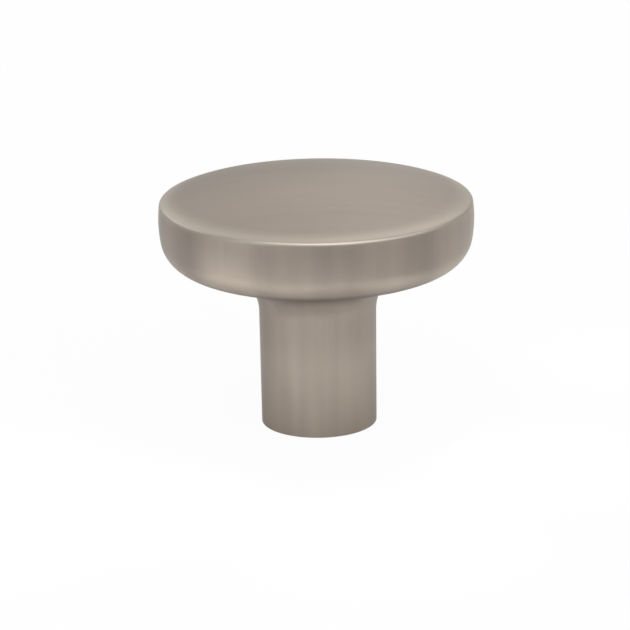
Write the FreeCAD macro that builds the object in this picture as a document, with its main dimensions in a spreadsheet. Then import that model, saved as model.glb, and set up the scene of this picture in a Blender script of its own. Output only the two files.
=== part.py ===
import FreeCAD, Part
import math
import os
from enum import IntEnum

import Sketcher
from FreeCAD import Vector

# Cabinet knob: a disc head on a slender stem, in one piece, with a blind tapped hole in its base.
# Millimetres. The axis is Z. The origin is the middle of the base, the face that sits on the door.

SIZES = {
    # Head
    "head_diameter": 35.0,  # across the widest line of the side wall
    "knob_height": 28.0,  # from the door to the middle of the domed face
    "dome_radius": 70.0,  # the face is a shallow dome
    "roll_width": 1.58,  # the dome ends this far inside the widest line
    "roll_radius": 7.0,  # and rolls off more tightly towards the rim
    "rim_edge_radius": 0.45,  # the crisp edge between roll and side wall
    "widest_below_top": 4.3,  # depth of the widest line below the middle of the face
    "wall_radius": 13.8,  # the side wall is slightly barrelled
    "lower_edge_radius": 3.55,  # the side wall turns under the head
    "head_thickness": 9.58,  # from the middle of the face down to the flat underside
    # Stem
    "stem_top_diameter": 13.15,  # where the stem would meet the underside without its neck
    "stem_base_diameter": 12.92,  # a little smaller: the draft that lets a casting leave its mould
    "neck_radius": 5.5,  # the stem flares into the underside
    "base_edge_radius": 0.12,
    "least_ledge": 0.2,  # flat ring kept between the neck and the lower edge
    # Tapped hole for a machine screw of 4 mm
    "tap_drill_diameter": 3.3,  # core of a 4 x 0.7 thread
    "hole_depth": 12.0,  # full bore, without the drill's point
    "drill_point_angle": 118.0,
    "countersink_diameter": 4.6,  # lead-in at the mouth, wider than the screw
    "countersink_angle": 90.0,
}


class Point(IntEnum):
    """Which point of a sketched line or arc a constraint takes."""

    START = 1
    END = 2
    CENTRE = 3


class Fixed(IntEnum):
    """What every sketch has before anything is drawn."""

    ORIGIN = -1
    VERTICAL_AXIS = -2


def make_sheet(doc):
    """Puts every driving dimension in a sheet, under its own name."""
    sheet = doc.addObject("Spreadsheet::Sheet", "Sizes")
    for row, (name, value) in enumerate(SIZES.items(), start=1):
        sheet.set(f"A{row}", name)
        sheet.set(f"B{row}", str(value))
        sheet.setAlias(f"B{row}", name)
    doc.recompute()
    return sheet


def origin_plane(body, role):
    """The body's own origin plane with this role."""
    for feature in body.Origin.OriginFeatures:
        if feature.Role == role:
            return feature
    raise RuntimeError(f"no origin plane {role}")


def new_sketch(body, name, plane):
    sketch = body.newObject("Sketcher::SketchObject", name)
    sketch.AttachmentSupport = [(origin_plane(body, plane), "")]
    sketch.MapMode = "FlatFace"
    return sketch


def dimension(sketch, name, kind, *where, expression):
    """Adds a dimension at the value that the drawn geometry has, and ties it to the sheet."""
    index = sketch.addConstraint(Sketcher.Constraint(kind, *where))
    sketch.renameConstraint(index, name)
    sketch.setExpression(f"Constraints.{name}", expression)


def outer_crossing(first_centre, first_radius, second_centre, second_radius):
    """The one farther from the axis of the two points where two circles cross."""
    between = second_centre - first_centre
    gap = between.Length
    along = (gap**2 + first_radius**2 - second_radius**2) / (2 * gap)
    aside = math.sqrt(first_radius**2 - along**2)
    direction = between / gap
    across = Vector(-direction.y, direction.x, 0)
    middle = first_centre + direction * along
    candidates = (middle + across * aside, middle - across * aside)
    return max(candidates, key=lambda point: point.x)


def arc_between(centre, start, end):
    """An arc about centre, anticlockwise from start to end."""
    circle = Part.Circle(centre, Vector(0, 0, 1), (start - centre).Length)
    start_angle = math.atan2(start.y - centre.y, start.x - centre.x)
    end_angle = math.atan2(end.y - centre.y, end.x - centre.x)
    return Part.ArcOfCircle(circle, start_angle, end_angle)


def draw_profile(body):
    """Half of the knob's section, up one side of the axis: base, stem, underside, wall and face."""
    sketch = new_sketch(body, "profile", "XZ_Plane")

    head_r = SIZES["head_diameter"] / 2
    top = SIZES["knob_height"]
    under = top - SIZES["head_thickness"]
    widest = Vector(head_r, top - SIZES["widest_below_top"], 0)
    wall_centre = widest - Vector(SIZES["wall_radius"], 0, 0)
    wall_run = math.sqrt(SIZES["wall_radius"] ** 2 - (widest.y - under) ** 2)
    apex = Vector(0, top, 0)
    dome_centre = apex - Vector(0, SIZES["dome_radius"], 0)
    dome_r = head_r - SIZES["roll_width"]
    dome_rise = math.sqrt(SIZES["dome_radius"] ** 2 - dome_r**2)
    dome_end = dome_centre + Vector(dome_r, dome_rise, 0)
    inward = (dome_centre - dome_end) / SIZES["dome_radius"]
    roll_centre = dome_end + inward * SIZES["roll_radius"]

    axis_foot = Vector(0, 0, 0)
    stem_foot = Vector(SIZES["stem_base_diameter"] / 2, 0, 0)
    stem_head = Vector(SIZES["stem_top_diameter"] / 2, under, 0)
    wall_foot = Vector(wall_centre.x + wall_run, under, 0)
    rim = outer_crossing(wall_centre, SIZES["wall_radius"], roll_centre, SIZES["roll_radius"])

    base = sketch.addGeometry(Part.LineSegment(axis_foot, stem_foot))
    stem = sketch.addGeometry(Part.LineSegment(stem_foot, stem_head))
    underside = sketch.addGeometry(Part.LineSegment(stem_head, wall_foot))
    wall = sketch.addGeometry(arc_between(wall_centre, wall_foot, rim))
    roll = sketch.addGeometry(arc_between(roll_centre, rim, dome_end))
    dome = sketch.addGeometry(arc_between(dome_centre, dome_end, apex))
    axis = sketch.addGeometry(Part.LineSegment(apex, axis_foot))
    widest_point = sketch.addGeometry(Part.Point(widest), True)

    def join(kind, *where):
        sketch.addConstraint(Sketcher.Constraint(kind, *where))

    for one, following in ((base, stem), (stem, underside), (underside, wall), (wall, roll)):
        join("Coincident", one, Point.END, following, Point.START)
    join("Tangent", roll, Point.END, dome, Point.START)
    join("Coincident", dome, Point.END, axis, Point.START)
    join("Coincident", axis, Point.END, base, Point.START)
    join("Coincident", base, Point.START, Fixed.ORIGIN, Point.START)
    join("Horizontal", base)
    join("Horizontal", underside)
    join("PointOnObject", dome, Point.END, Fixed.VERTICAL_AXIS)
    join("PointOnObject", dome, Point.CENTRE, Fixed.VERTICAL_AXIS)
    join("PointOnObject", widest_point, Point.START, wall)
    join("Horizontal", widest_point, Point.START, wall, Point.CENTRE)

    def across(name, geometry, point, expression):
        where = (Fixed.ORIGIN, Point.START, geometry, point, sketch.getPoint(geometry, point).x)
        dimension(sketch, name, "DistanceX", *where, expression=expression)

    def up(name, geometry, point, expression):
        where = (Fixed.ORIGIN, Point.START, geometry, point, sketch.getPoint(geometry, point).y)
        dimension(sketch, name, "DistanceY", *where, expression=expression)

    across("base_radius", base, Point.END, "Sizes.stem_base_diameter / 2")
    across("stem_top_radius", stem, Point.END, "Sizes.stem_top_diameter / 2")
    across("head_radius", widest_point, Point.START, "Sizes.head_diameter / 2")
    across("dome_reach", dome, Point.START, "Sizes.head_diameter / 2 - Sizes.roll_width")
    up("apex_height", dome, Point.END, "Sizes.knob_height")
    up("underside_height", stem, Point.END, "Sizes.knob_height - Sizes.head_thickness")
    up("widest_height", widest_point, Point.START, "Sizes.knob_height - Sizes.widest_below_top")
    for name, arc in (("wall_radius", wall), ("roll_radius", roll), ("dome_radius", dome)):
        dimension(sketch, name, "Radius", arc, SIZES[name], expression=f"Sizes.{name}")

    corners = {"rim": rim, "wall_foot": wall_foot, "stem_head": stem_head, "stem_foot": stem_foot}
    return sketch, corners


def ring_edge(feature, corner):
    """Name of the level ring that runs through a corner of the profile."""
    on_section = Part.Vertex(Vector(corner.x, 0, corner.y))
    found = []
    for number, edge in enumerate(feature.Shape.Edges, start=1):
        # The dome's apex counts as an edge of no length, which has no curve.
        if edge.Degenerated or not isinstance(edge.Curve, Part.Circle):
            continue
        level = abs(edge.Curve.Axis.z) > 0.5
        if level:
            found.append((edge.distToShape(on_section)[0], f"Edge{number}"))
    return min(found)[1]


def round_off(doc, body, name, corner, expression):
    """Rounds one ring of the body with a radius tied to the sheet."""
    before = body.Tip
    fillet = body.newObject("PartDesign::Fillet", name)
    fillet.Base = (before, [ring_edge(before, corner)])
    fillet.setExpression("Radius", expression)
    doc.recompute()
    return fillet


def drill(doc, body):
    """The blind tapped hole, drilled up from the base, with a countersunk mouth."""
    sketch = new_sketch(body, "hole_centre", "XY_Plane")
    circle = Part.Circle(Vector(0, 0, 0), Vector(0, 0, 1), SIZES["tap_drill_diameter"] / 2)
    ring = sketch.addGeometry(circle)
    on_axis = (ring, Point.CENTRE, Fixed.ORIGIN, Point.START)
    sketch.addConstraint(Sketcher.Constraint("Coincident", *on_axis))
    where = (ring, SIZES["tap_drill_diameter"])
    dimension(sketch, "bore", "Diameter", *where, expression="Sizes.tap_drill_diameter")
    doc.recompute()

    hole = body.newObject("PartDesign::Hole", "screw_hole")
    hole.Profile = sketch
    doc.recompute()
    hole.ThreadType = "None"
    hole.Reversed = True
    hole.DepthType = "Dimension"
    hole.DrillPoint = "Angled"
    hole.HoleCutType = "Countersink"
    hole.setExpression("Diameter", "Sizes.tap_drill_diameter")
    hole.setExpression("Depth", "Sizes.hole_depth")
    hole.setExpression("DrillPointAngle", "Sizes.drill_point_angle")
    hole.setExpression("HoleCutDiameter", "Sizes.countersink_diameter")
    hole.setExpression("HoleCutCountersinkAngle", "Sizes.countersink_angle")
    doc.recompute()
    return hole


def make_knob(doc):
    body = doc.addObject("PartDesign::Body", "knob_body")
    body.Label = "knob_body"
    sketch, corners = draw_profile(body)
    doc.recompute()

    turned = body.newObject("PartDesign::Revolution", "turned_shape")
    turned.Profile = sketch
    turned.ReferenceAxis = (sketch, ["V_Axis"])
    turned.Angle = 360
    doc.recompute()

    ledge = "(Sizes.head_diameter - Sizes.stem_top_diameter) / 2 - Sizes.lower_edge_radius"
    neck = f"min(Sizes.neck_radius; {ledge} - Sizes.least_ledge)"
    round_off(doc, body, "lower_edge", corners["wall_foot"], "Sizes.lower_edge_radius")
    round_off(doc, body, "neck", corners["stem_head"], neck)
    round_off(doc, body, "rim_edge", corners["rim"], "Sizes.rim_edge_radius")
    round_off(doc, body, "base_edge", corners["stem_foot"], "Sizes.base_edge_radius")

    undrilled = body.Shape.Volume
    drill(doc, body)
    removed = undrilled - body.Shape.Volume
    print(f"hole removes {removed:.2f} cubic mm")
    if removed <= 0:
        raise RuntimeError("the hole cuts nothing")
    body.Placement = FreeCAD.Placement(Vector(0, 0, 0), FreeCAD.Rotation())
    doc.recompute()
    return body


def check(doc, parts):
    """Stops on a failed object or a bad solid."""
    for item in doc.Objects:
        faults = [state for state in item.State if state in ("Invalid", "Error")]
        if faults:
            raise RuntimeError(f"{item.Name}: {faults}")
    for part in parts:
        if part.Shape.isNull() or not part.Shape.isValid():
            raise RuntimeError(f"{part.Label}: no valid shape")
        if len(part.Shape.Solids) != 1:
            raise RuntimeError(f"{part.Label}: {len(part.Shape.Solids)} solids")


def main():
    doc = FreeCAD.newDocument("cabinet_knob")
    make_sheet(doc)
    parts = [make_knob(doc)]
    check(doc, parts)
    os.makedirs("parts", exist_ok=True)
    for part in parts:
        part.Shape.exportStep(f"parts/{part.Label}.step")
        box = part.Shape.optimalBoundingBox()
        print(f"{part.Label}: {box.XLength:.2f} x {box.YLength:.2f} x {box.ZLength:.2f} mm")
        print(f"{part.Label}: volume {part.Shape.Volume / 1000:.3f} cubic cm")


main()
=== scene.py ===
# %% [markdown]
# # A cabinet knob in satin nickel
#
# The real knob is one small casting. Its disc head is turned on a lathe, brushed, plated with
# nickel and left satin, and it is fixed from behind by a screw in its stem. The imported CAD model
# gives the frame: the knob stands on its base at the origin and its axis is Z. Blender works in
# metres in that same frame, so nothing has to be fitted by eye. Small lengths are written in
# millimetres and multiplied by `MM`.

import math

import bmesh
import bpy
import numpy as np
from mathutils import Matrix, Vector


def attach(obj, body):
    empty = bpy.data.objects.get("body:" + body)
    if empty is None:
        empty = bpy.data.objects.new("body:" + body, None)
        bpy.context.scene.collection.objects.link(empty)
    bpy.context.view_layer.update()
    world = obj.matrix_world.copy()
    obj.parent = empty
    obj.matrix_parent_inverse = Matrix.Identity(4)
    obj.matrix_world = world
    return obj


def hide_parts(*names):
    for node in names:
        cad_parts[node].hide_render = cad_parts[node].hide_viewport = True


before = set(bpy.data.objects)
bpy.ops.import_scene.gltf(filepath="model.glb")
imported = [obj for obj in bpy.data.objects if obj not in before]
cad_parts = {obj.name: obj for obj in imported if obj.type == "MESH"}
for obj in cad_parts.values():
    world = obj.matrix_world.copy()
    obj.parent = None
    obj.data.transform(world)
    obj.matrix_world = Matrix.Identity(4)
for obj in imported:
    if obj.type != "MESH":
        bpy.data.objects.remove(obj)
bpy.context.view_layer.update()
MM = 0.001

# %% [markdown]
# ## The camera
#
# A product camera stands well back with a long lens, so that the round head isn't stretched. The
# place and the lens below were worked out from the outline of the knob: how round the head looks
# gives the height of the camera, and how much the far side shrinks gives its distance. A camera
# could also be aimed by hand, but then the proportions would be a guess.

# %% Camera
PICTURE_WIDTH = 630
FOCAL_PIXELS = 3439.3
SENSOR_MM = 36.0
CAMERA_DISTANCE = 384.45 * MM
CAMERA_ELEVATION = math.radians(17.4885)
CAMERA_ROLL = math.radians(0.93)
PIVOT = Vector((0, 0, 12.781)) * MM
AIM_OFFSET = Vector((-0.306, -0.135, -0.429)) * MM


def aimed(position, target, roll=0.0):
    """A matrix at position that looks along its own -Z at target."""
    turn = (target - position).to_track_quat("-Z", "Y").to_matrix().to_4x4()
    return Matrix.Translation(position) @ turn @ Matrix.Rotation(-roll, 4, "Z")


def add_to_scene(name, data):
    """A new object in the scene that shows this mesh, light or camera."""
    thing = bpy.data.objects.new(name, data)
    bpy.context.scene.collection.objects.link(thing)
    return thing


camera_data = bpy.data.cameras.new("camera")
camera_data.sensor_width = SENSOR_MM
camera_data.lens = FOCAL_PIXELS * SENSOR_MM / PICTURE_WIDTH
camera_data.clip_start = 0.01
camera = add_to_scene("camera", camera_data)
backwards = Vector((0, -math.cos(CAMERA_ELEVATION), math.sin(CAMERA_ELEVATION)))
camera.matrix_world = aimed(
    PIVOT + backwards * CAMERA_DISTANCE, PIVOT + AIM_OFFSET, CAMERA_ROLL
)
bpy.context.scene.camera = camera
bpy.context.scene.view_settings.view_transform = "Standard"
print(f"lens {camera_data.lens:.1f} mm at {CAMERA_DISTANCE:.3f} m")

# %% [markdown]
# ## Formulas for materials
#
# A material is a graph of small nodes. Wiring them by hand hides the idea, so the two helpers
# below let a formula be written as a formula. `Wire` is the output of a node, and arithmetic on
# it adds Math nodes. `Bench` adds any other node to one material.


# %% Helpers for shader graphs
class Wire:
    """One output of a node. Arithmetic with numbers or other wires adds Math nodes."""

    def __init__(self, bench, socket):
        self.bench = bench
        self.socket = socket

    def combine(self, operation, first, second):
        return self.bench.add("ShaderNodeMath", {"operation": operation}, {0: first, 1: second})

    def __add__(self, other):
        return self.combine("ADD", self, other)

    def __radd__(self, other):
        return self.combine("ADD", other, self)

    def __sub__(self, other):
        return self.combine("SUBTRACT", self, other)

    def __rsub__(self, other):
        return self.combine("SUBTRACT", other, self)

    def __mul__(self, other):
        return self.combine("MULTIPLY", self, other)

    def __rmul__(self, other):
        return self.combine("MULTIPLY", other, self)


class Bench:
    """Adds nodes to one node tree."""

    def __init__(self, tree):
        self.tree = tree
        tree.nodes.clear()

    def add(self, kind, settings=None, sockets=None, output=0):
        """A node of this kind: its settings first, then a value or a wire for each socket."""
        node = self.tree.nodes.new(kind)
        for name, value in (settings or {}).items():
            setattr(node, name, value)
        for name, value in (sockets or {}).items():
            if isinstance(value, Wire):
                self.tree.links.new(value.socket, node.inputs[name])
            else:
                node.inputs[name].default_value = value
        return Wire(self, node.outputs[output]) if node.outputs else node


def new_material(name):
    material = bpy.data.materials.new(name)
    material.use_nodes = True
    return material, Bench(material.node_tree)


# %% [markdown]
# ## White paper
#
# The knob stands on seamless white paper. Lighting paper until it is pure white would flood the
# metal, so its whiteness comes from its own shader: to the camera it shines at strength 1, which
# is white, with a share of real paper left in so that a soft shadow stays. Reflections and glass
# see that shine too, but only a tenth of it: otherwise the knob would look white from below. The
# paper lies a hair under the base, because two faces in one plane flicker through each other.

# %% Paper
WHITE = (1, 1, 1, 1)
PAPER = (0.75, 0.75, 0.75, 1)
PAPER_SIZE = 10.0
PAPER_GAP = 0.02 * MM
SHINE_TO_CAMERA = 0.95
SHINE_TO_METAL = 0.1


def is_ray(bench, kind):
    """1 for a ray of this kind and 0 for any other."""
    return bench.add("ShaderNodeLightPath", output=f"Is {kind} Ray")


paper_material, bench = new_material("paper")
lit_paper = bench.add("ShaderNodeBsdfDiffuse", {}, {"Color": PAPER})
shine = bench.add("ShaderNodeEmission", {}, {"Color": WHITE, "Strength": 1.0})
for_camera = is_ray(bench, "Camera") * SHINE_TO_CAMERA
for_metal = (is_ray(bench, "Glossy") + is_ray(bench, "Transmission")) * SHINE_TO_METAL
sockets = {0: for_camera + for_metal, 1: lit_paper, 2: shine}
paper_look = bench.add("ShaderNodeMixShader", {}, sockets)
bench.add("ShaderNodeOutputMaterial", {}, {"Surface": paper_look})

half = PAPER_SIZE / 2
corners = ((-half, -half), (half, -half), (half, half), (-half, half))
paper_mesh = bpy.data.meshes.new("paper")
paper_mesh.from_pydata([(x, y, -PAPER_GAP) for x, y in corners], [], [(0, 1, 2, 3)])
paper_mesh.materials.append(paper_material)
add_to_scene("paper", paper_mesh)
print(f"paper: {PAPER_SIZE} m square")

# %% [markdown]
# ## The room
#
# Past the paper's edge the camera sees plain white as well. For everything else the world is a
# room in one even grey. It fills the gaps between the lights, so that no dark line runs along the
# rim, and it lets the lights themselves stay low. More lights could do that too, but each one is
# one more shape that the metal shows.

# %% Room
ROOM_LEVEL = 0.35

world = bpy.data.worlds.new("room")
world.use_nodes = True
bpy.context.scene.world = world
bench = Bench(world.node_tree)
level = ROOM_LEVEL + is_ray(bench, "Camera") * (1.0 - ROOM_LEVEL)
room = bench.add("ShaderNodeBackground", {}, {"Color": WHITE, "Strength": level})
bench.add("ShaderNodeOutputWorld", {}, {"Surface": room})
print(f"room: {ROOM_LEVEL} of white")

# %% [markdown]
# ## Studio lights
#
# Metal has no look of its own: it shows the lights. Soft panels all round give the slow changes
# of brightness that make brushed nickel read as satin. The face shows the ones behind the knob,
# and the ones in front light the side wall and draw the bright line on the rim. Each panel is
# given by the direction it stands in, its size and its brightness, where 1 is as bright as white
# paper. One picture of a real studio could light the metal too, but single panels can be moved
# and dimmed one by one.

# %% Light panels
AIM_POINT = Vector((0, 0, 14)) * MM
PANEL_DISTANCE = 2.5
NEUTRAL = (1.0, 1.0, 1.0)
WARM = (1.08, 1.0, 0.9)
COOL = (0.95, 1.0, 1.04)


def direction_to(azimuth, elevation):
    """Unit vector: azimuth 0 is towards the camera and 90 to its right; both in degrees."""
    turn, rise = math.radians(azimuth), math.radians(elevation)
    across = math.cos(rise)
    return Vector((math.sin(turn) * across, -math.cos(turn) * across, math.sin(rise)))


def panel(name, azimuth, elevation, width, height, brightness, colour=NEUTRAL):
    """A soft panel that faces the knob; width and height in degrees as the knob sees them."""
    light = bpy.data.lights.new(name, "AREA")
    light.shape = "RECTANGLE"
    light.size = 2 * PANEL_DISTANCE * math.tan(math.radians(width / 2))
    light.size_y = 2 * PANEL_DISTANCE * math.tan(math.radians(height / 2))
    light.energy = brightness * math.pi * light.size * light.size_y
    light.color = colour
    lamp = add_to_scene(name, light)
    place = AIM_POINT + direction_to(azimuth, elevation) * PANEL_DISTANCE
    lamp.matrix_world = aimed(place, AIM_POINT)
    lamp.visible_camera = False
    print(f"{name}: {light.size:.2f} x {light.size_y:.2f} m, {light.energy:.1f} W")


panel("key", 20, 50, 40, 44, 2.25)
panel("side_right", 60, 28, 53, 26, 1.2)
panel("high_left", -30, 58, 21, 46, 2.0)
panel("low_left", -50, 10, 40, 22, 0.95, COOL)
panel("edge_left", -113, 40, 40, 46, 0.25)
panel("edge_right", 110, 40, 36, 46, 0.4)
panel("overhead", 160, 73, 26, 16, 0.43, COOL)
panel("back_left", -130, 28, 53, 14, 1.4, COOL)
panel("back_middle", 180, 26, 14, 18, 0.52, WARM)
panel("back_high_left", -160, 50, 26, 60, 0.42)
panel("back_high_right", 160, 50, 26, 30, 0.95)
panel("back_low_left", -160, 15, 38, 12, 0.21)
panel("back_low_right", 160, 17, 38, 36, 0.35)

# %% [markdown]
# The low parts of the knob don't show the panels but the paper round its foot, so that is where
# they are lit: small spots from straight above miss the knob and brighten the paper in soft pools.

# %% Pools of light on the paper
SPOT_HEIGHT = 0.5
SPOT_BLEND = 0.8
SPOT_BULB_RADIUS = 0.005
FADED_REACH = 1.25  # a spot's blurred rim ends this far out, in radii of its pool


def pool(name, azimuth, distance, radius, brightness):
    """A spot straight above the paper, its pool in mm; brightness 1 makes white paper white."""
    light = bpy.data.lights.new(name, "SPOT")
    light.spot_size = 2 * math.atan(FADED_REACH * radius * MM / SPOT_HEIGHT)
    light.spot_blend = SPOT_BLEND
    light.shadow_soft_size = SPOT_BULB_RADIUS
    light.energy = brightness * 4 * math.pi**2 * SPOT_HEIGHT**2
    lamp = add_to_scene(name, light)
    lamp.location = direction_to(azimuth, 0) * distance * MM + Vector((0, 0, SPOT_HEIGHT))
    lamp.visible_camera = False
    print(f"{name}: {light.energy:.1f} W")


pool("pool_left", -58, 50, 24, 0.7)
pool("pool_front_left", -33, 33, 13, 0.56)
pool("pool_front", 10, 38, 14, 0.79)
pool("pool_right", 55, 30, 12, 0.69)
pool("pool_back_right", 120, 40, 13, 0.19)

# %% [markdown]
# ## The turned shape
#
# A lathe makes every round surface of the knob from one half-section, and so does this mesh: the
# section is a chain of straight lines and true arcs, with the same sizes as the CAD model, and it
# is swept round the axis. Arcs are cut into small steps of angle, so tight edges stay round. A
# cylinder with bevels would need less code, but it couldn't give the domed face, the barrelled
# wall or the long flare of the neck.

# %% Sizes in millimetres
HEAD_RADIUS = 17.5
KNOB_HEIGHT = 28.0
DOME_RADIUS = 70.0
ROLL_WIDTH = 1.58
ROLL_RADIUS = 7.0
RIM_EDGE_RADIUS = 0.45
WIDEST_HEIGHT = KNOB_HEIGHT - 4.3
WALL_RADIUS = 13.8
LOWER_EDGE_RADIUS = 3.55
UNDERSIDE_HEIGHT = KNOB_HEIGHT - 9.58
STEM_TOP_RADIUS = 6.575
STEM_BASE_RADIUS = 6.46
NECK_RADIUS = 5.5
BASE_EDGE_RADIUS = 0.12
BORE_RADIUS = 1.65
BORE_DEPTH = 12.0
DRILL_POINT_ANGLE = 118.0
COUNTERSINK_RADIUS = 2.3
print(f"knob: {2 * HEAD_RADIUS:.0f} mm across and {KNOB_HEIGHT:.0f} mm high")


# %% Arcs and crossings of the section
def angle_of(centre, point):
    return math.degrees(math.atan2(point[1] - centre[1], point[0] - centre[0]))


def arc(centre, radius, start, end, step=3.0):
    """Points (radius from the axis, height) along an arc; angles in degrees."""
    count = max(3, math.ceil(abs(end - start) / step) + 1)
    turns = np.radians(np.linspace(start, end, count))
    return [(centre[0] + radius * math.cos(t), centre[1] + radius * math.sin(t)) for t in turns]


def between(start, end, shares):
    """Points on a straight line, at these shares of its length."""
    start, end = np.array(start), np.array(end)
    return [tuple(start * (1 - share) + end * share) for share in shares]


def outer_crossing(centre_a, radius_a, centre_b, radius_b):
    """Where two circles cross, on the side away from the axis."""
    a, b = np.array(centre_a), np.array(centre_b)
    gap = np.linalg.norm(b - a)
    along = (gap**2 + radius_a**2 - radius_b**2) / (2 * gap)
    aside = math.sqrt(radius_a**2 - along**2)
    direction = (b - a) / gap
    across = np.array([-direction[1], direction[0]])
    middle = a + direction * along
    return tuple(max(middle + across * aside, middle - across * aside, key=lambda p: p[0]))


# %% [markdown]
# Each rounded edge is an arc that touches both of its neighbours, so its centre lies one edge
# radius away from each of them. For two straight lines that is simple, and for two arcs it is
# the crossing of two circles with their radii shortened by the radius of the edge.


# %% The two halves of the section
def stem_section():
    """From the mouth of the screw hole over the base, up the stem and out along the neck."""
    slope = (STEM_TOP_RADIUS - STEM_BASE_RADIUS) / UNDERSIDE_HEIGHT
    lean = math.degrees(math.atan(slope))
    slant = math.cos(math.radians(lean))
    neck_height = UNDERSIDE_HEIGHT - NECK_RADIUS

    base_inset = STEM_BASE_RADIUS + slope * BASE_EDGE_RADIUS - BASE_EDGE_RADIUS / slant
    base_centre = (base_inset, BASE_EDGE_RADIUS)
    neck_centre = (STEM_BASE_RADIUS + slope * neck_height + NECK_RADIUS / slant, neck_height)
    base_edge = arc(base_centre, BASE_EDGE_RADIUS, -90, -lean, 12)
    neck = arc(neck_centre, NECK_RADIUS, 180 - lean, 90)

    mouth = (COUNTERSINK_RADIUS, 0.0)
    across_base = [mouth] + between(mouth, base_edge[0], [0.5])
    stem_foot, stem_end = base_edge[-1], (neck_centre[0] - NECK_RADIUS * slant, neck_height)
    up_the_stem = between(stem_foot, stem_end, [0.2, 0.4, 0.6, 0.8])
    return across_base + base_edge + up_the_stem + neck


def head_section():
    """From the underside of the head round its lower edge, wall and rim to the middle."""
    wall_centre = (HEAD_RADIUS - WALL_RADIUS, WIDEST_HEIGHT)
    lower_height = UNDERSIDE_HEIGHT + LOWER_EDGE_RADIUS
    reach = math.sqrt((WALL_RADIUS - LOWER_EDGE_RADIUS) ** 2 - (WIDEST_HEIGHT - lower_height) ** 2)
    lower_centre = (wall_centre[0] + reach, lower_height)

    dome_centre = (0.0, KNOB_HEIGHT - DOME_RADIUS)
    dome_angle = math.degrees(math.acos((HEAD_RADIUS - ROLL_WIDTH) / DOME_RADIUS))
    inner, toward = DOME_RADIUS - ROLL_RADIUS, math.radians(dome_angle)
    roll_centre = (inner * math.cos(toward), dome_centre[1] + inner * math.sin(toward))
    rim_centre = outer_crossing(
        wall_centre, WALL_RADIUS - RIM_EDGE_RADIUS, roll_centre, ROLL_RADIUS - RIM_EDGE_RADIUS
    )

    wall_low = angle_of(wall_centre, lower_centre)
    wall_high = angle_of(wall_centre, rim_centre)
    roll_low = angle_of(roll_centre, rim_centre)
    points = arc(lower_centre, LOWER_EDGE_RADIUS, -90, wall_low)
    points += arc(wall_centre, WALL_RADIUS, wall_low, wall_high, 1.5)[1:]
    points += arc(rim_centre, RIM_EDGE_RADIUS, wall_high, roll_low, 4)[1:]
    points += arc(roll_centre, ROLL_RADIUS, roll_low, dome_angle, 1.2)[1:]
    points += arc(dome_centre, DOME_RADIUS, dome_angle, 90, 0.7)[1:]
    return points


section = stem_section() + head_section()
print(f"section: {len(section)} points, widest {max(r for r, _ in section):.2f} mm")

# %% [markdown]
# ## The screw thread
#
# The blind hole in the base is tapped for a machine screw of 4 mm. A thread is a groove that
# climbs one pitch in each turn, so the rows of the mesh climb with it: at the seam each row meets
# the one that lies a pitch higher. That keeps the crests sharp with few faces. A bump map would be
# cheaper, but it leaves the mesh with a smooth bore.

# %% Thread sizes and rows
SEGMENTS = 256
THREAD_PITCH = 0.7
THREAD_DEPTH = 0.35
ROWS_PER_PITCH = 8
THREAD_START = COUNTERSINK_RADIUS - BORE_RADIUS
THREAD_RUNOUT = 1.0
# Depth of the groove at each row of a pitch: a flat crest, a flank, a narrow root, a flank.
GROOVE = (0.0, 0.0, 0.4, 0.8, 1.0, 0.8, 0.4, 0.0)


def bore_rows():
    """Rows of (radius, height) rings round the bore, climbing with the thread."""
    turns = np.arange(SEGMENTS) / SEGMENTS
    lowest, highest = THREAD_START, BORE_DEPTH
    count = math.ceil((highest - lowest) / THREAD_PITCH * ROWS_PER_PITCH)
    rows = []
    for row in range(-ROWS_PER_PITCH, count + ROWS_PER_PITCH + 1):
        climb = lowest + (row / ROWS_PER_PITCH + turns) * THREAD_PITCH
        height = np.clip(climb, lowest, highest)
        from_mouth = np.clip((height - lowest) / THREAD_PITCH, 0, 1)
        from_end = np.clip((highest - THREAD_RUNOUT - height) / THREAD_PITCH, 0, 1)
        groove = GROOVE[row % ROWS_PER_PITCH] * np.minimum(from_mouth, from_end)
        rows.append(np.stack([BORE_RADIUS + THREAD_DEPTH * groove, height], axis=1))
    return rows


print(f"thread: {(BORE_DEPTH - THREAD_START - THREAD_RUNOUT) / THREAD_PITCH:.1f} turns")

# %% [markdown]
# ## From rings to a mesh
#
# Both the outside and the bore are stacks of rings with a skin of four-sided faces between them,
# closed by a fan at each end. Rows of the thread that were cut off flat at its ends fall on top
# of each other, so the mesh is cleaned afterwards. A screw modifier could sweep the section, but
# it couldn't join the climbing thread to the flat ring at its mouth.


# %% Rings, skins and caps
def ring(bm, radius, height):
    """One turn of vertices; radius and height are single numbers or one for each segment."""
    radius, height = np.broadcast_to(radius, SEGMENTS), np.broadcast_to(height, SEGMENTS)
    turns = np.arange(SEGMENTS) * 2 * math.pi / SEGMENTS
    spots = np.stack([radius * np.cos(turns), radius * np.sin(turns), height], axis=1) * MM
    return [bm.verts.new(spot) for spot in spots]


def skin(bm, lower, upper, seam_lower=None, seam_upper=None):
    """Faces between two rings. At the seam a climbing row joins the rows a pitch above."""
    for i in range(SEGMENTS - 1):
        bm.faces.new((lower[i], lower[i + 1], upper[i + 1], upper[i]))
    next_lower, next_upper = (seam_lower or lower)[0], (seam_upper or upper)[0]
    bm.faces.new((lower[-1], next_lower, next_upper, upper[-1]))


def cap(bm, rim, height):
    """A fan from a ring to a point on the axis."""
    tip = bm.verts.new((0, 0, height * MM))
    for i in range(SEGMENTS):
        bm.faces.new((rim[i], rim[(i + 1) % SEGMENTS], tip))


# %% The knob's mesh
SAME_SPOT = 1e-7
NO_LENGTH = 1e-8


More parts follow.
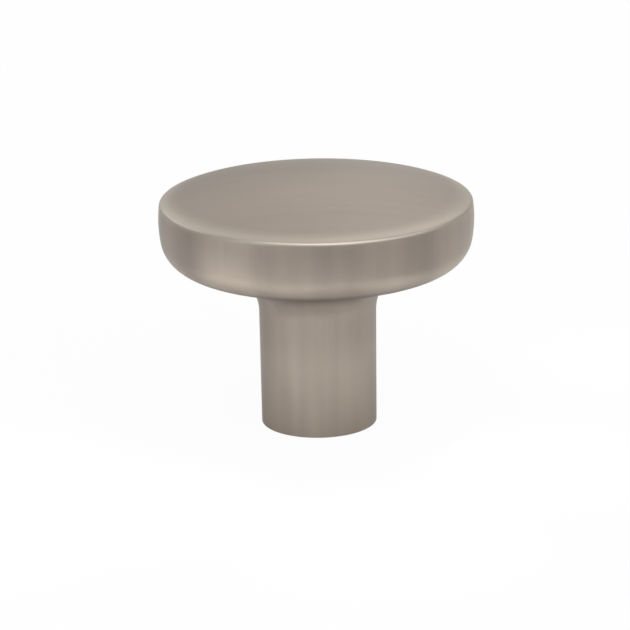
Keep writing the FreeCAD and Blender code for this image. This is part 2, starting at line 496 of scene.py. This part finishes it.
def make_knob_mesh():
    """One closed skin: the outside from foot to face, the threaded hole, and the mouth between."""
    bm = bmesh.new()
    outside = [ring(bm, radius, height) for radius, height in section[:-1]]
    for lower, upper in zip(outside, outside[1:]):
        skin(bm, lower, upper)
    cap(bm, outside[-1], KNOB_HEIGHT)

    bore = [ring(bm, row[:, 0], row[:, 1]) for row in bore_rows()]
    for i in range(len(bore) - 1 - ROWS_PER_PITCH):
        skin(bm, bore[i], bore[i + 1], bore[i + ROWS_PER_PITCH], bore[i + 1 + ROWS_PER_PITCH])
    mouth = ring(bm, BORE_RADIUS, THREAD_START)
    skin(bm, mouth, outside[0])
    drill_end = ring(bm, BORE_RADIUS, BORE_DEPTH)
    point_height = BORE_RADIUS / math.tan(math.radians(DRILL_POINT_ANGLE / 2))
    cap(bm, drill_end, BORE_DEPTH + point_height)

    bmesh.ops.remove_doubles(bm, verts=bm.verts, dist=SAME_SPOT)
    bmesh.ops.dissolve_degenerate(bm, edges=bm.edges, dist=NO_LENGTH)
    bmesh.ops.recalc_face_normals(bm, faces=bm.faces)
    open_edges = sum(not edge.is_manifold for edge in bm.edges)
    volume = bm.calc_volume() / MM**3 / 1000
    mesh = bpy.data.meshes.new("knob")
    bm.to_mesh(mesh)
    bm.free()
    triangles = sum(len(face.vertices) - 2 for face in mesh.polygons)
    print(f"mesh: {triangles} triangles, {open_edges} open edges, {volume:.2f} cubic cm")
    return mesh


knob_mesh = make_knob_mesh()

# %% [markdown]
# The mesh takes the place of the plain CAD body, which is hidden, and rides on the body root.
# Faces that meet at less than a small angle are shaded as one smooth surface, and the sharp
# borders of the base, the countersink and the thread stay crisp.

# %% Put the knob in the scene
SHARP_ANGLE = math.radians(25)

for face in knob_mesh.polygons:
    face.use_smooth = True
knob_mesh.set_sharp_from_angle(angle=SHARP_ANGLE)
knob = add_to_scene("knob", knob_mesh)
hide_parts("knob_body")
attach(knob, "root")
print("knob: in place of knob_body, on the body root")

# %% [markdown]
# ## Satin nickel
#
# Satin nickel is a warm grey metal with a brushed grain. An abrasive belt is drawn straight across
# the face, and up and down the side wall and the stem. A wave pattern could make the lines, but
# they would be even, and brushed lines never are. So the grain is a noise field that is stretched
# along the belt's way. It changes the tone, the roughness and the surface, each a little.

# %% Tools for the finish
nickel, bench = new_material("satin_nickel")
place = bench.add("ShaderNodeTexCoord", output="Object")
z = bench.add("ShaderNodeSeparateXYZ", {}, {0: place}, output="Z")


def ramp(value, start, end):
    """0 up to start and 1 from end on, with a smooth way between; lengths in millimetres."""
    sockets = {0: value, 1: start * MM, 2: end * MM}
    return bench.add("ShaderNodeMapRange", {"interpolation_type": "SMOOTHSTEP"}, sockets)


def grain(x_per_mm, y_per_mm, z_per_mm, detail, seed=0.0):
    """Noise with this many changes in a millimetre along each axis, between -0.5 and 0.5."""
    counts = (x_per_mm / MM, y_per_mm / MM, z_per_mm / MM)
    sockets = {0: place, 1: counts, 2: (0.0, 0.0, seed)}
    spot = bench.add("ShaderNodeVectorMath", {"operation": "MULTIPLY_ADD"}, sockets)
    sockets = {"Vector": spot, "Scale": 1.0, "Detail": detail}
    return bench.add("ShaderNodeTexNoise", {}, sockets) - 0.5


def blend(share, first, second):
    """A mix of two colours; a share below 0 or above 1 goes on past them."""
    settings = {"data_type": "RGBA", "clamp_factor": False}
    return bench.add("ShaderNodeMix", settings, {0: share, 6: first, 7: second}, output=2)


print("material:", nickel.name)

# %% [markdown]
# The height above the base tells the parts of the knob apart. The colour gets painted light and
# shade by height: a painted highlight on the rim, painted light on the lower edge of the head and
# low on the stem, and painted shade on the wall and in the corner under the head.

# %% Parts of the knob, and where light and shade are painted
on_stem = 1 - ramp(z, 16.0, 17.0)
# Painted light low on the stem, and painted shade that grows up the stem into the corner under the
# head.
painted_light_low_on_stem = 1 - ramp(z, 5.0, 11.0)
painted_shade_rising = ramp(z, 7.5, 12.0) * 0.4 + ramp(z, 15.2, 16.6) * 1.2
painted_shade_under_head = painted_shade_rising * (1 - ramp(z, 18.6, 19.4))
painted_light_on_lower_edge = ramp(z, 19.1, 19.7) * (1 - ramp(z, 20.2, 21.5))
painted_shade_on_wall = ramp(z, 20.8, 22.3) * (1 - ramp(z, 24.6, 25.2))
on_rim = ramp(z, 25.25, 25.55) * (1 - ramp(z, 25.8, 26.4))
on_face = ramp(z, 25.2, 25.6)
print("parts of the finish told apart by height")

# %% [markdown]
# A belt leaves marks of every size: fine hairs, lines, and broad streaks that only show as a soft
# change of tone. Each is one noise field for the face, stretched along X, and one for the sides,
# stretched along Z.


# %% Marks of the belt
def across_face_or_side(face, side):
    """One field on the face and another on the stem and wall."""
    return side + on_face * (face - side)


streaks_across_face = grain(0.04, 0.5, 0.04, 2.0) * 0.65
broad = across_face_or_side(streaks_across_face, grain(0.45, 0.45, 0.03, 2.0))
lines = across_face_or_side(grain(0.10, 2.4, 0.10, 3.0), grain(1.8, 1.8, 0.08, 3.0))
hairs = across_face_or_side(grain(0.5, 9.0, 0.5, 2.0), grain(8.0, 8.0, 0.4, 2.0))
cloud = grain(0.09, 0.09, 0.09, 2.0)
brushed = broad * 0.9 + lines * 0.5 + hairs * 0.25 + cloud * 0.5
print("hairs, lines, streaks and clouds")

# %% [markdown]
# The wall and the stem get painted reflections: soft lighter and darker bands that run up and
# down, as reflected lights would draw them on the metal. Another seed would put them elsewhere
# round the knob.

# %% Painted reflections and tone
WALL_REFLECTION_SEED = 108.0
STEM_REFLECTION_SEED = 103.0

# Painted reflections: soft bands of light and shade in the tone of the wall and the stem.
wall_painted_reflections = grain(0.18, 0.18, 0.01, 1.0, WALL_REFLECTION_SEED) * (1 - on_face) * (1 - on_stem)
stem_painted_reflections = grain(0.4, 0.4, 0.01, 1.0, STEM_REFLECTION_SEED) * on_stem
painted_reflections = wall_painted_reflections * 4.6 + stem_painted_reflections * 1.8
# Painted light: the low stem and the lower edge of the head come out lighter; the whole stem is a
# little lighter too.
lighter = on_stem * 0.3 + painted_light_low_on_stem * 0.2 + painted_light_on_lower_edge * 0.5
# Painted shade: the wall is a little darker and the corner under the head much darker.
darker = painted_shade_on_wall * 0.22 + painted_shade_under_head * 1.3
tone = 0.5 + brushed + painted_reflections + lighter - darker
print("tone ready: 0 is the deep nickel and 1 the light one")

# %% [markdown]
# The metal itself is plain: full Metallic, a roughness that makes reflections soft but keeps their
# shape, and a hint of stretch from the brushing. The bump is only three thousandths of a
# millimetre high, as the real lines are.

# %% Satin nickel
NICKEL_LIGHT = (0.415, 0.355, 0.300, 1)
NICKEL_DEEP = (0.345, 0.296, 0.254, 1)
# A lighter nickel for the painted highlight on the rim.
NICKEL_PAINTED_HIGHLIGHT = (0.53, 0.47, 0.40, 1)
ROUGHNESS = 0.42
BRUSH_HEIGHT = 0.003 * MM

# Towards the rim the colour turns lighter: a painted highlight.
colour = blend(on_rim * 0.8, blend(tone, NICKEL_DEEP, NICKEL_LIGHT), NICKEL_PAINTED_HIGHLIGHT)
roughness = ROUGHNESS + lines * 0.08 + cloud * 0.06 + on_rim * 0.03 + painted_shade_under_head * 0.05
bumps = bench.add(
    "ShaderNodeBump", {}, {"Strength": 0.4, "Distance": BRUSH_HEIGHT, "Height": hairs + lines}
)
finish = {
    "Base Color": colour,
    "Metallic": 1.0,
    "Roughness": roughness,
    "Anisotropic": 0.15,
    "Normal": bumps,
}
metal = bench.add("ShaderNodeBsdfPrincipled", {}, finish)
bench.add("ShaderNodeOutputMaterial", {}, {"Surface": metal})
knob_mesh.materials.append(nickel)
print("satin nickel ready")
